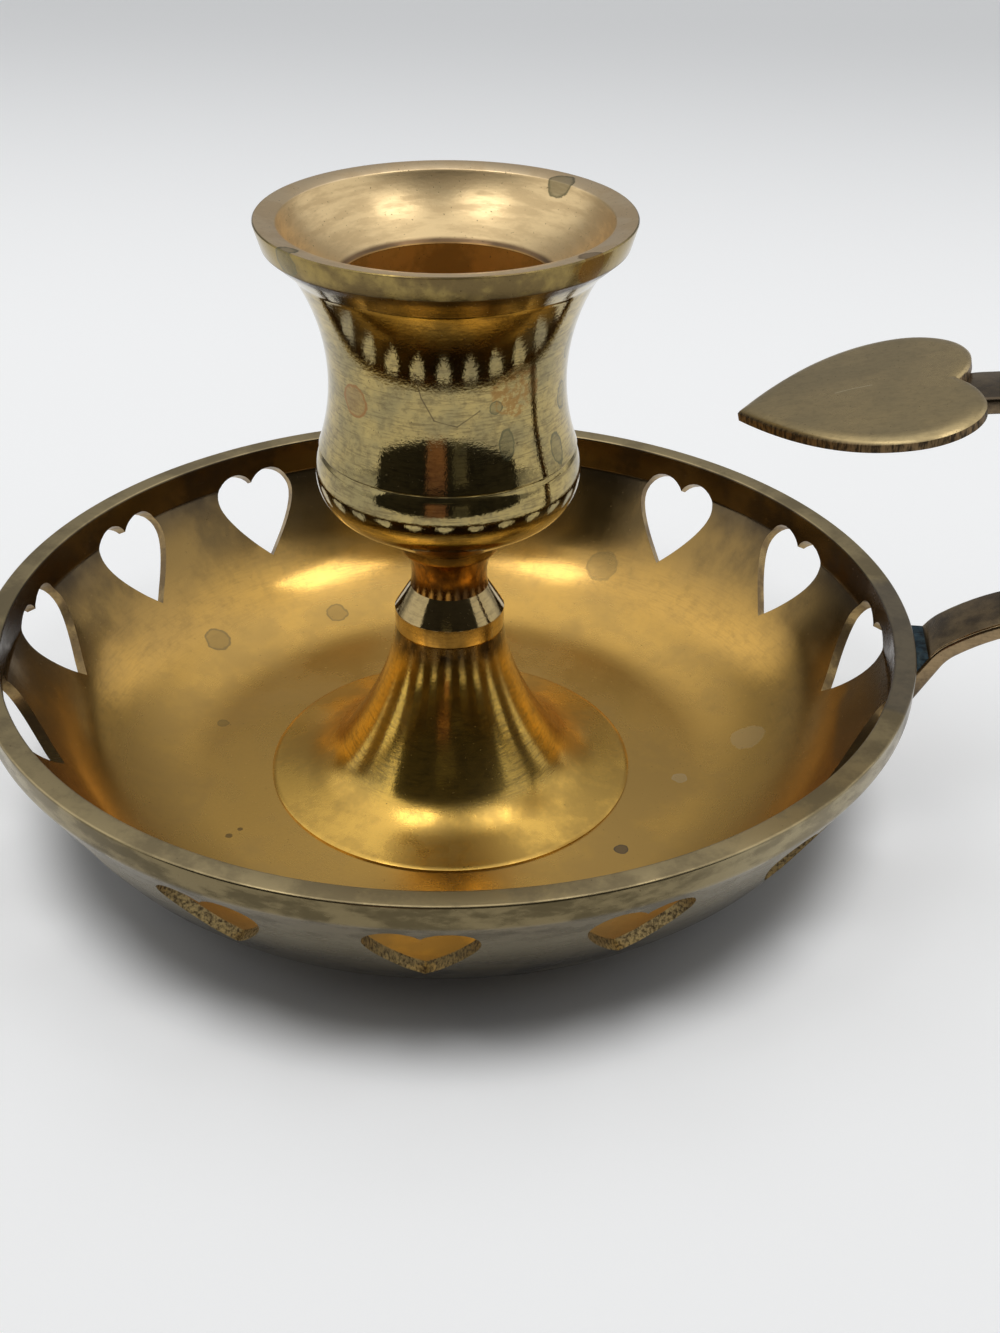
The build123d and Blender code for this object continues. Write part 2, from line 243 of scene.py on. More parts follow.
def brassFinish(name, changes):
    look = {**brass, **changes}
    finish = bpy.data.materials.new(name)
    finish.use_nodes = True
    tree = finish.node_tree
    shader = tree.nodes["Principled BSDF"]
    source = add(tree, "TexCoord")
    place, normal = source.outputs["Object"], source.outputs["Normal"]
    x, y, z = add(tree, "SeparateXYZ", Vector=place).outputs
    height = calc(tree, "DIVIDE", z, mm)
    flat = add(tree, "CombineXYZ", X=x, Y=y).outputs[0]
    radius = vectorCalc(tree, "LENGTH", flat)
    away = vectorCalc(tree, "NORMALIZE", flat)
    outward = vectorCalc(tree, "DOT_PRODUCT", normal, away)
    upward = add(tree, "SeparateXYZ", Vector=normal).outputs[2]
    strokes, spin = brushing(tree, look, place, away, radius, z)

    # the metal's own colour drifts in clouds
    patches = grain(tree, place, look["cloudSize"], detail=5.0, rough=0.6)
    patches = ramp(tree, patches, 0.5 - look["cloudSoft"], 0.5 + look["cloudSoft"])
    colour = mixColour(tree, patches, (*look["colour"], 1), (*look["dull"], 1))
    rough = calc(tree, "MULTIPLY_ADD", patches, look["roughSpread"], look["rough"])
    mottle = grain(tree, place, look["mottleSize"], detail=6.0, rough=0.72)
    for mask, dark in (mottle, "mottleDark"), (strokes, "strokeDark"):
        mask = calc(tree, "MULTIPLY", ramp(tree, mask, *look["darkEdge"]), look[dark])
        colour = mixColour(tree, mask, colour, (*look["dirt"], 1))
    for film in look["tarnishAndShade"]:
        # a film on the surfaces that face one way, as far as its limits: some are tarnish, others
        # painted shade and painted reflection
        cover = sideMask(tree, film["side"], outward, upward)
        fade = film.get("fade", look["filmFade"])
        if "above" in film:
            limit = ramp(tree, height, film["above"], film["above"] + fade)
            cover = calc(tree, "MULTIPLY", cover, limit)
        if "below" in film:
            limit = ramp(tree, height, film["below"], film["below"] - fade)
            cover = calc(tree, "MULTIPLY", cover, limit)
        if "before" in film:
            limit = ramp(tree, y, film["before"] * mm, (film["before"] - film["over"]) * mm)
            cover = calc(tree, "MULTIPLY", cover, limit)
        streaks = stretched(tree, place, *film.get("stretch", (1, 1, 1)))
        streaks = grain(tree, streaks, film["size"], detail=5.0, rough=0.62)
        streaks = ramp(tree, streaks, *look["streakEdge"])
        tone = mixColour(tree, streaks, (*film["colour"], 1), (*film["dull"], 1))
        colour = mixColour(tree, cover, colour, tone)
        streaks = calc(tree, "MULTIPLY_ADD", streaks, look["streakRough"], film["rough"])
        rough = mixValue(tree, cover, rough, streaks)
    specks = grain(tree, place, look["speckSize"], detail=2.0, rough=0.6)
    speckMask = ramp(tree, specks, *[edge - look["speckShare"] for edge in look["speckEdge"]])
    cover = calc(tree, "MULTIPLY", speckMask, look["speckDark"])
    colour = mixColour(tree, cover, colour, (*look["dirt"], 1))
    for spot in look["stainsAndShade"]:
        # a dried drop leaves a filled blot with a darker rim; the wide grey blot by the handle is
        # painted shade
        size = spot["size"]
        edge, hollow, lumps, wander = size * 0.9, size * 0.72, size * 0.7, size * 0.5
        ragged = calc(tree, "MULTIPLY_ADD", grain(tree, place, lumps), wander, -wander / 2)
        gap = calc(tree, "ADD", gapTo(tree, place, spot["at"], spot.get("tall", 1.0)), ragged)
        inside = ramp(tree, gap, size, edge)
        rim = calc(tree, "MULTIPLY", inside, ramp(tree, gap, hollow, edge))
        cover = calc(tree, "MULTIPLY", inside, spot["fill"])
        cover = calc(tree, "MULTIPLY_ADD", rim, spot["rim"], cover)
        if spot.get("patchy"):
            cover = calc(tree, "MULTIPLY", cover, ramp(tree, mottle, *look["patchEdge"]))
        colour = mixColour(tree, cover, colour, (*spot["colour"], 1))
        rough = calc(tree, "MULTIPLY_ADD", inside, spot.get("matt", look["stainMatt"]), rough)
    for route in look["scratches"]:
        for start, end in zip(route, route[1:]):
            gap = gapToLine(tree, place, start, end)
            cut = ramp(tree, gap, *look["scratchEdge"], 0, look["scratchCover"])
            colour = mixColour(tree, cut, colour, (*look["scratch"], 1))
    rough = calc(tree, "MULTIPLY_ADD", speckMask, look["speckRough"], rough)
    rough = calc(tree, "MULTIPLY_ADD", strokes, look["strokeRough"], rough)
    relief = calc(tree, "MULTIPLY", strokes, look["strokeDeep"])
    relief = calc(tree, "MULTIPLY_ADD", specks, -look["speckDeep"], relief)
    waves = grain(tree, place, look["waveSize"], detail=1.0)
    relief = calc(tree, "MULTIPLY_ADD", waves, look["waveDeep"], relief)
    bump = add(tree, "Bump", Height=relief, Distance=mm, Strength=1.0)
    shader.inputs["Metallic"].default_value = 1.0
    tree.links.new(colour, shader.inputs["Base Color"])
    tree.links.new(calc(tree, "MAXIMUM", rough, look["roughLeast"]), shader.inputs["Roughness"])
    tree.links.new(bump.outputs[0], shader.inputs["Normal"])
    if spin:
        # brushing spreads a highlight across its strokes, a quarter turn from the tangent
        shader.inputs["Anisotropic"].default_value = look["spread"]
        shader.inputs["Anisotropic Rotation"].default_value = 0.25
        tree.links.new(spin, shader.inputs["Tangent"])
    return finish


# Every finish starts from these and changes some.
brass = {
    "colour": (0.72, 0.46, 0.14), "dull": (0.58, 0.37, 0.12), "cloudSize": 14, "cloudSoft": 0.12,
    "rough": 0.10, "roughSpread": 0.08, "roughLeast": 0.03, "dirt": (0.10, 0.07, 0.04),
    "mottleSize": 0.9, "mottleDark": 0.2, "darkEdge": (0.46, 0.65),
    "turned": 0, "strokeSize": 2.2, "strokeThin": 9, "strokeRough": 0.08, "strokeDeep": 0.002,
    "strokeDark": 0.25, "spread": 0.5, "waveSize": 9, "waveDeep": 0.02,
    "speckSize": 0.35, "speckShare": 0.0, "speckEdge": (0.68, 0.74), "speckDark": 0.6,
    "speckDeep": 0.01, "speckRough": 0.25,
    "tarnishAndShade": [], "filmFade": 0.4, "streakEdge": (0.40, 0.62), "streakRough": 0.1,
    "stainsAndShade": [], "stainMatt": 0.06, "patchEdge": (0.42, 0.56),
    "scratches": [], "scratch": (0.10, 0.07, 0.04), "scratchEdge": (0.11, 0.03), "scratchCover": 0.75,
}
# A film fades in above or below a height. One with a "before" covers only what is in front of that Y;
# those are painted shade and painted reflection on the front.
panTarnishAndShade = [
    # painted dark reflection: the whole inner wall darkened dark brown
    {"side": "inside", "above": 5.0, "fade": 9.0, "stretch": (1, 1, 0.5), "size": 9,
     "colour": (0.30, 0.19, 0.065), "dull": (0.18, 0.12, 0.05), "rough": 0.10},
    # painted dark reflection: a darker band just under the rim inside
    {"side": "inside", "above": panTop - 9.5, "fade": 6.0, "size": 6,
     "colour": (0.11, 0.08, 0.045), "dull": (0.06, 0.045, 0.03), "rough": 0.12},
    {"side": "top", "below": 7.0, "fade": 5.0, "size": 16,
     "colour": (0.69, 0.41, 0.10), "dull": (0.57, 0.35, 0.10), "rough": 0.20},
    # painted shade: the inner bend darkened in front only
    {"side": "inside", "above": 3.0, "fade": 6.0, "before": -18, "over": 20, "size": 9,
     "colour": (0.17, 0.12, 0.06), "dull": (0.10, 0.07, 0.04), "rough": 0.12},
    # painted shade of the front wall: the floor in front duller and darker
    {"side": "top", "below": 9.0, "fade": 2.0, "before": -22, "over": 14, "size": 9,
     "colour": (0.47, 0.31, 0.11), "dull": (0.36, 0.24, 0.09), "rough": 0.24},
    {"side": "outside", "stretch": (1, 1, 3), "size": 5,
     "colour": (0.33, 0.275, 0.16), "dull": (0.22, 0.18, 0.105), "rough": 0.17},
    # painted dark reflection: the upper outer wall darker in front only
    {"side": "outside", "above": 15.0, "fade": 5.0, "before": -38, "over": 12, "stretch": (1, 1, 3),
     "size": 5, "colour": (0.21, 0.165, 0.085), "dull": (0.115, 0.09, 0.045), "rough": 0.17},
    # painted reflection of the floor's shadow: the lower outer wall darker all round
    {"side": "outside", "below": 15.0, "fade": 7.0, "stretch": (1, 1, 2.5), "size": 8,
     "colour": (0.20, 0.16, 0.09), "dull": (0.06, 0.05, 0.04), "rough": 0.13},
    {"side": "top", "above": panTop - 0.6, "size": 6,
     "colour": (0.46, 0.36, 0.19), "dull": (0.28, 0.22, 0.12), "rough": 0.30},
]
bellTarnishAndShade = [
    {"side": "top", "below": 6.5, "fade": 3.0, "size": 7,
     "colour": (0.84, 0.51, 0.11), "dull": (0.60, 0.37, 0.09), "rough": 0.21},
    # painted dark reflection: the bell's top darker
    {"side": "outside", "above": 17.0, "fade": 3.4, "stretch": (1, 1, 0.5), "size": 1.6,
     "colour": (0.07, 0.05, 0.03), "dull": (0.26, 0.17, 0.06), "rough": 0.14},
]
cupTarnishAndShade = [
    # darker on the underside below the belly and on the neck
    {"side": "outside", "below": panTop + 16.2, "fade": 1.6, "size": 5,
     "colour": (0.22, 0.14, 0.045), "dull": (0.14, 0.09, 0.035), "rough": 0.06},
    # painted reflection: orange glints and dark streaks on the neck
    {"side": "outside", "below": panTop + 8.8, "stretch": (1, 1, 0.5), "size": 2.5,
     "colour": (0.40, 0.19, 0.035), "dull": (0.12, 0.06, 0.02), "rough": 0.10},
    {"side": "inside", "above": panTop + 10, "size": 5,
     "colour": (0.74, 0.42, 0.10), "dull": (0.50, 0.27, 0.06), "rough": 0.45},
    # painted shade: a dark line at the bore's chamfer
    {"side": "inside", "above": panTop + 39.9, "stretch": (1, 1, 6), "size": 5,
     "colour": (0.20, 0.12, 0.06), "dull": (0.14, 0.09, 0.05), "rough": 0.30},
    {"side": "inside", "above": panTop + 40.4, "stretch": (1, 1, 6), "size": 5,
     "colour": (0.80, 0.59, 0.31), "dull": (0.66, 0.48, 0.25), "rough": 0.28},
    {"side": "top", "above": panTop + 45, "size": 4,
     "colour": (0.95, 0.72, 0.43), "dull": (0.76, 0.56, 0.32), "rough": 0.26},
    # painted shade: a dark band under the lip
    {"side": "outside", "above": panTop + 43.0, "fade": 0.9, "size": 3,
     "colour": (0.11, 0.07, 0.03), "dull": (0.07, 0.05, 0.03), "rough": 0.12},
    {"side": "outside", "above": panTop + 44.2, "size": 6,
     "colour": (0.33, 0.24, 0.08), "dull": (0.17, 0.12, 0.05), "rough": 0.14},
]
olive, brown = (0.16, 0.14, 0.07), (0.30, 0.16, 0.06)
amber, pale = (0.29, 0.20, 0.08), (0.62, 0.52, 0.32)
cupStains = [
    {"at": (-8.32, -9.94, 53.1), "size": 1.9, "rim": 0.7, "fill": 0.35, "colour": brown},
    {"at": (6.54, -11.21, 53.7), "size": 0.8, "rim": 0.85, "fill": 0.45, "colour": olive},
    {"at": (7.65, -10.7, 49.4), "size": 0.95, "tall": 2.0, "rim": 0.85, "fill": 0.6, "colour": olive},
    {"at": (12.5, -5.5, 47.0), "size": 1.2, "tall": 1.7, "rim": 0.75, "fill": 0.4, "colour": olive},
    {"at": (12.6, -3.2, 52.1), "size": 1.1, "tall": 1.5, "rim": 0.75, "fill": 0.4, "colour": olive},
    {"at": (13.2, -2.9, 57.6), "size": 1.0, "tall": 1.6, "rim": 0.75, "fill": 0.4, "colour": olive},
    {"at": (8.5, -9.9, 55.3), "size": 3.0, "rim": 0.0, "fill": 0.75, "colour": (0.32, 0.17, 0.05),
     "patchy": True},
    {"at": (-13.8, -13.9, 69.0), "size": 1.7, "rim": 0.4, "fill": 0.5, "colour": olive},
    {"at": (15.8, -11.6, 69.0), "size": 1.9, "rim": 0.2, "fill": 0.7, "colour": (0.22, 0.12, 0.03)},
    {"at": (10.7, 14.0, 69.7), "size": 1.8, "rim": 0.3, "fill": 0.6, "colour": olive},
]
panStainsAndShade = [
    {"at": (-34.7, 20.1, 4.0), "size": 1.9, "rim": 0.45, "fill": 0.5, "colour": amber},
    {"at": (-20.5, 31.4, 2.7), "size": 1.6, "rim": 0.5, "fill": 0.35, "colour": amber},
    {"at": (16.2, 41.3, 7.4), "size": 2.4, "rim": 0.15, "fill": 0.4, "colour": (0.26, 0.18, 0.07)},
    {"at": (36.8, 7.3, 2.7), "size": 2.3, "rim": 0.0, "fill": 0.3, "colour": pale, "matt": 0.1},
    {"at": (28.5, -0.5, 1.3), "size": 1.0, "rim": 0.2, "fill": 0.4, "colour": pale, "matt": 0.1},
    {"at": (22.0, -15.4, 1.3), "size": 0.9, "rim": 0.2, "fill": 0.7, "colour": (0.09, 0.08, 0.07)},
    {"at": (-23.7, -18.4, 1.3), "size": 0.45, "rim": 0.0, "fill": 0.7, "colour": (0.12, 0.08, 0.04)},
    {"at": (-22.7, -17.0, 1.3), "size": 0.35, "rim": 0.0, "fill": 0.7, "colour": (0.12, 0.08, 0.04)},
    {"at": (-30.2, 4.4, 1.3), "size": 0.8, "rim": 0.2, "fill": 0.4, "colour": olive},
    # painted shade: a grey blot on the rim round the handle's foot, not a drop
    {"at": (56.0, -2.0, 23.2), "size": 17, "rim": 0.0, "fill": 0.62, "colour": (0.16, 0.14, 0.12)},
]
cupScratch = [(-1.5, -13.45, 57.85), (-0.9, -13.06, 55.15), (0.38, -12.95, 52.66), (2.71, -12.68, 52.0),
              (4.98, -11.98, 53.6)]
plateScratch = [(41.6, 0.2, 52.45), (43.4, 0.7, 52.9), (45.4, 0.9, 53.3)]
finishes = {
    "pan": brassFinish("panBrass", {
        "colour": (0.72, 0.42, 0.10), "dull": (0.58, 0.35, 0.10), "cloudSize": 26, "rough": 0.09,
        "turned": 35, "speckShare": -0.03, "speckDeep": 0.004, "strokeDark": 0.12, "mottleDark": 0.16,
        "mottleSize": 2.0, "tarnishAndShade": panTarnishAndShade, "stainsAndShade": panStainsAndShade}),
    "sawn": brassFinish("sawnBrass", {
        "colour": (0.38, 0.26, 0.11), "dull": (0.21, 0.14, 0.065), "cloudSize": 3, "rough": 0.24}),
    "burr": brassFinish("burrBrass", {
        "colour": (0.58, 0.44, 0.20), "dull": (0.15, 0.11, 0.06), "cloudSize": 0.35, "rough": 0.36,
        "roughSpread": 0.2, "speckShare": 0.06}),
    "bell": brassFinish("bellBrass", {
        "colour": (0.80, 0.51, 0.10), "dull": (0.56, 0.37, 0.09), "rough": 0.09, "turned": 12,
        "speckShare": -0.03, "strokeDark": 0.35, "mottleDark": 0.25, "tarnishAndShade": bellTarnishAndShade}),
    "collar": brassFinish("collarBrass", {
        "colour": (0.48, 0.36, 0.17), "dull": (0.42, 0.31, 0.14), "rough": 0.04, "roughSpread": 0.03,
        "turned": 6}),
    "cup": brassFinish("cupBrass", {
        "colour": (0.47, 0.36, 0.14), "dull": (0.32, 0.26, 0.12), "cloudSize": 6, "rough": 0.03,
        "roughSpread": 0.03, "turned": 14, "strokeDark": 0.45, "strokeDeep": 0.001,
        "strokeRough": 0.05, "mottleDark": 0.35, "spread": 0.35, "tarnishAndShade": cupTarnishAndShade,
        "stainsAndShade": cupStains, "scratches": [cupScratch]}),
    "strap": brassFinish("strapBrass", {
        "colour": (0.31, 0.22, 0.12), "dull": (0.12, 0.09, 0.06), "cloudSize": 5, "rough": 0.13,
        "mottleDark": 0.3}),
    "plate": brassFinish("plateBrass", {
        "colour": (0.63, 0.47, 0.225), "dull": (0.45, 0.345, 0.175), "rough": 0.22,
        "strokeDark": 0.12, "mottleDark": 0.15,
        "scratches": [plateScratch], "scratch": (0.95, 0.80, 0.50),
        "tarnishAndShade": [{"side": "edge", "stretch": (1, 1, 0.2), "size": 0.4,
                   "colour": (0.24, 0.16, 0.08), "dull": (0.055, 0.04, 0.025), "rough": 0.4}]}),
    "braze": brassFinish("brazeMetal", {
        "colour": (0.03, 0.06, 0.08), "dull": (0.015, 0.022, 0.028), "dirt": (0.25, 0.32, 0.30),
        "cloudSize": 1.2, "rough": 0.38, "strokeDark": 0.1, "mottleDark": 0.15}),
    "steel": brassFinish("dullSteel", {
        "colour": (0.42, 0.40, 0.37), "dull": (0.24, 0.21, 0.18), "cloudSize": 3, "rough": 0.35}),
}
print("finishes ready:", len(finishes))


def dress(piece, finish, node):
    piece.data.materials.clear()
    piece.data.materials.append(finishes[finish])
    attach(piece, "root")
    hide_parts(node)


# Drip pan: one spun sheet with a thick rim, and the hearts cut through its wall

pan = {
    "radius": 54.0, "sheet": 1.25, "rimLand": 2.5, "rimBand": 2.7, "lean": 30.0, "bend": 20.8,
    "edge": 0.3, "hole": 2.1, "bossRadius": 8.5, "bossRise": 4.6, "bossSlope": 2.2, "bossBend": 1.1,
    "bendSteps": 8, "segments": 540,
}
hearts = {
    "count": 15, "width": 11.3, "height": 12.1, "cleft": 1.45, "tipAngle": 43.0, "lobeShare": 0.56,
    "topDrop": 3.9, "firstAngle": 10.7, "points": 36, "sawDepth": 0.05, "sawPitch": 0.32,
    "handDepth": 0.16, "handPitch": 4, "nextSeed": (37.1, 11.7, 0), "cutDepth": 6.0,
    "burrBefore": -20,  # the hearts in front of this Y still have the saw's burr
}


def makePan():
    lean = radians(pan["lean"])
    foot = pan["radius"] - (panTop - pan["rimBand"]) * tan(lean)
    wall = pan["sheet"] / cos(lean)
    inRim = pan["radius"] - pan["rimLand"]
    inFoot = panTop - pan["rimBand"] - (pan["rimLand"] - wall) / tan(lean)
    boss, top, sheet, edge = pan["bossRadius"], pan["bossRise"], pan["sheet"], pan["edge"]
    shift = sheet * tan(atan2(top, pan["bossSlope"]) / 2)
    outline = soften([
        (pan["hole"], top), (boss, top, pan["bossBend"]),
        (boss + pan["bossSlope"], 0, pan["bossBend"] + sheet), (foot, 0, pan["bend"]),
        (pan["radius"], panTop - pan["rimBand"], pan["rimBand"] / 2), (pan["radius"], panTop, edge),
        (inRim, panTop, edge), (inRim, inFoot, pan["rimBand"] / 2),
        (foot + sheet * tan(lean) - wall, sheet, pan["bend"] - sheet),
        (boss + pan["bossSlope"] + shift, sheet, pan["bossBend"]),
        (boss + shift, top + sheet, pan["bossBend"] + sheet), (pan["hole"], top + sheet),
    ], pan["bendSteps"])
    return turnPiece("drip_pan_spun", outline, pan["segments"])


def makeHeartCutters():
    lean = radians(pan["lean"])
    tipHeight = panTop - hearts["topDrop"] - hearts["height"] * cos(lean)
    tipRadius = pan["radius"] - (panTop - pan["rimBand"] - tipHeight) * tan(lean)
    outward = Matrix.Rotation(pi / 2, 4, "Z") @ Matrix.Rotation(pi / 2 + lean, 4, "X")
    cutters = []
    for i in range(hearts["count"]):
        cutter = heartCurve(f"heartCutter{i}", hearts)
        for vertex in cutter.data.vertices:
            x, y, _ = vertex.co / mm
            seed = Vector((x, y, 0)) + Vector(hearts["nextSeed"]) * i
            saw = noise.noise(seed / hearts["sawPitch"]) * hearts["sawDepth"]
            hand = noise.noise(seed / hearts["handPitch"]) * hearts["handDepth"]
            vertex.co += vertex.co.normalized() * (saw + hand) * mm
        bpy.ops.object.mode_set(mode="EDIT")
        bpy.ops.mesh.select_all(action="SELECT")
        half = hearts["cutDepth"] / 2 * mm
        bpy.ops.transform.translate(value=(0, 0, -half))
        bpy.ops.mesh.extrude_region_move(TRANSFORM_OT_translate={"value": (0, 0, 2 * half)})
        bpy.ops.mesh.select_all(action="SELECT")
        bpy.ops.mesh.normals_make_consistent(inside=False)
        bpy.ops.object.mode_set(mode="OBJECT")
        turn = Matrix.Rotation(radians(hearts["firstAngle"] + 360 * i / hearts["count"]), 4, "Z")
        seat = Matrix.Translation((tipRadius * mm, 0, tipHeight * mm))
        cutter.matrix_world = turn @ seat @ outward
        burred = cutter.matrix_world.translation.y < hearts["burrBefore"] * mm
        cutter.data.materials.append(finishes["burr" if burred else "sawn"])
        cutter.select_set(False)
        cutters.append(cutter)
    for cutter in cutters:
        cutter.select_set(True)
    bpy.context.view_layer.objects.active = cutters[0]
    bpy.ops.object.join()
    bpy.ops.object.transform_apply(location=True, rotation=True, scale=True)
    cutters[0].select_set(False)
    return cutters[0]


def cutOut(piece, cutter):
    bpy.context.view_layer.objects.active = piece
    piece.select_set(True)
    cut = piece.modifiers.new("cut", "BOOLEAN")
    cut.operation, cut.object, cut.solver, cut.material_mode = "DIFFERENCE", cutter, "EXACT", "TRANSFER"
    bpy.ops.object.modifier_apply(modifier="cut")
    bpy.data.objects.remove(cutter)
    bpy.ops.object.shade_smooth_by_angle(angle=smoothAngle)
    piece.select_set(False)


panPiece = makePan()
dress(panPiece, "pan", "drip_pan")
cutOut(panPiece, makeHeartCutters())
print("pan ready:", len(panPiece.data.polygons), "faces")


# Stem: hollow bell, collar and candle cup

bell = {
    "seam": 21.3, "top": 6.42, "topSlope": 6, "edge": (22.1, 1.46), "foot": 1.25, "sheet": 1.0,
    "drops": [(7.92, 14.9), (13.3, 5.3), (18.0, 2.3), (21.8, 1.62)],  # where its arcs meet
    "arcSteps": 14, "segments": 256,
}
collar = {
    "foot": 21.3, "radius": 6.43, "band": 2.4, "rise": 3.5, "neck": 4.55, "break": 0.15,
    "bandBend": 0.12, "bendSteps": 3, "segments": 192,
}
cup = {
    "neckFoot": (4.55, 3.5), "neckWaist": (4.4, 5.1), "neckTop": (5.2, 8.4), "step": 0.45,
    "underAngle": 33.0, "belly": (14.79, 18.3), "bellyBend": 5.2, "shoulder": 14.3,
    "groove": 21.3, "grooveWidth": 0.7, "grooveDepth": 0.35, "waist": (12.96, 29.7),
    "undercut": (16.3, 41.6), "lip": (20.0, 47.0), "lipLand": 2.43, "lipFall": 0.45, "lipBand": 2.7,
    "lipTaper": 0.8, "edge": 0.22, "bore": 11.3, "mouth": 40.1, "boreLength": 24.8, "chamfer": 0.6,
    "flareSag": 0.48, "undercutAngle": 45, "stepBend": 0.1, "stepTopBend": 0.2, "grooveBend": 0.15,
    "floorBend": 0.4, "bendSteps": 3, "segments": 288,
    "arcSteps": {"neck": 14, "under": 14, "belly": 12, "side": 48, "lip": 10, "flare": 24},
}


def bellSide(inset):
    # the bell's side from its seam down to the foot, moved in and down by an inset
    side, heading = [(bell["top"], bell["seam"])], bell["topSlope"] - 90
    for spot in bell["drops"]:
        last = side[-1]
        side += bend(last, heading, spot, bell["arcSteps"])
        heading = 2 * degrees(atan2(spot[1] - last[1], spot[0] - last[0])) - heading
    return [(r - inset, z - inset) for r, z in side]


def makeBell():
    inside = [(r, z) for r, z in bellSide(bell["sheet"]) if z > bell["foot"]]
    outline = bellSide(0) + [bell["edge"], (bell["edge"][0], bell["foot"])]
    outline += [(inside[-1][0], bell["foot"]), *reversed(inside)]
    outline += [(0, inside[0][1]), (0, bell["seam"])]
    return turnPiece("bell_foot_turned", outline, bell["segments"])


def makeCollar():
    low, band, cut = collar["foot"], collar["foot"] + collar["band"], collar["break"]
    outline = soften([
        (0, low), (collar["radius"] - cut, low), (collar["radius"], low + cut),
        (collar["radius"], band, collar["bandBend"]), (collar["neck"], panTop + collar["rise"]),
        (0, panTop + collar["rise"]),
    ], collar["bendSteps"])
    return turnPiece("knop_collar_turned", outline, collar["segments"])


def makeCup():
    slope, turnIn = radians(cup["underAngle"]), cup["bellyBend"]
    underEnd = (cup["belly"][0] - turnIn * (1 - sin(slope)), cup["belly"][1] - turnIn * cos(slope))
    stepRadius = cup["neckTop"][0] + cup["step"]
    stepTop = (stepRadius, underEnd[1] - (underEnd[0] - stepRadius) * tan(slope))
    grooveLow = (cup["shoulder"], cup["groove"] - cup["grooveWidth"] / 2)
    grooveHigh = (cup["shoulder"], cup["groove"] + cup["grooveWidth"] / 2)
    lip, edge, arcs = cup["lip"], cup["edge"], cup["arcSteps"]
    bandFoot = (lip[0] - cup["lipTaper"], lip[1] - cup["lipBand"])
    innerLip = (lip[0] - cup["lipLand"], lip[1] - cup["lipFall"])
    flareFoot = (cup["bore"] + cup["chamfer"], cup["mouth"] + cup["chamfer"])
    flareMiddle = ((innerLip[0] + flareFoot[0]) / 2 + cup["flareSag"],
                   (innerLip[1] + flareFoot[1]) / 2 - cup["flareSag"])
    boreFloor = cup["mouth"] - cup["boreLength"]
    path = [cup["neckFoot"]] + through(cup["neckFoot"], cup["neckWaist"], cup["neckTop"], arcs["neck"])
    path += [(stepRadius, cup["neckTop"][1], cup["stepBend"]), (*stepTop, cup["stepTopBend"]), underEnd]
    path += bend(underEnd, cup["underAngle"], cup["belly"], arcs["under"])
    path += bend(cup["belly"], 90, grooveLow, arcs["belly"])
    path += [(cup["shoulder"] - cup["grooveDepth"], cup["groove"], cup["grooveBend"]), grooveHigh]
    path += through(grooveHigh, cup["waist"], cup["undercut"], arcs["side"])
    path += bend(cup["undercut"], cup["undercutAngle"], bandFoot, arcs["lip"])[:-1]
    path += [(*bandFoot, edge), (*lip, edge), (*innerLip, edge)]
    path += through(innerLip, flareMiddle, flareFoot, arcs["flare"])
    path += [(cup["bore"], cup["mouth"]), (cup["bore"], boreFloor, cup["floorBend"])]
    path += [(0, boreFloor), (0, cup["neckFoot"][1])]
    outline = [(r, panTop + z) for r, z in soften(path, cup["bendSteps"])]
    return turnPiece("candle_cup_turned", outline, cup["segments"])


dress(makeBell(), "bell", "bell_foot")
dress(makeCollar(), "collar", "knop_collar")
dress(makeCup(), "cup", "candle_cup")
print("stem and cup ready")


# Handle: a bar bent along the strap's route, and a heart plate on its end

strap = {
    "width": 7.6, "thickness": 1.9, "corner": 0.45, "cornerSteps": 4, "start": (52.108, 14.873),
    "heading": 61.5, "turnStep": 3, "fewestSteps": 6, "rimGap": 0.05, "rimSides": 720, "rimDepth": 60,
    # a straight run's length and 0, or an arc's radius and its turn
    "moves": [(8.0, 0), (5.9, -25.5), (24.3, -18.0), (1.6, 0), (13.328, 167.3), (3.085, 0),
              (14.0, 7.2), (14.0, 0)],
}
plate = {
    "width": 27.6, "height": 25.2, "cleft": 1.95, "tipAngle": 58.0, "lobeShare": 0.54, "points": 48,
    "thickness": 1.4, "slope": 12.5, "tip": (31.4, 27.0), "middle": 14.0,
    "steps": [(0.84, 1.0), (0.22, 0.985), (0.19, 0.972), (0.10, 0.96), (0.05, 0.94)],  # rise, shrink
}


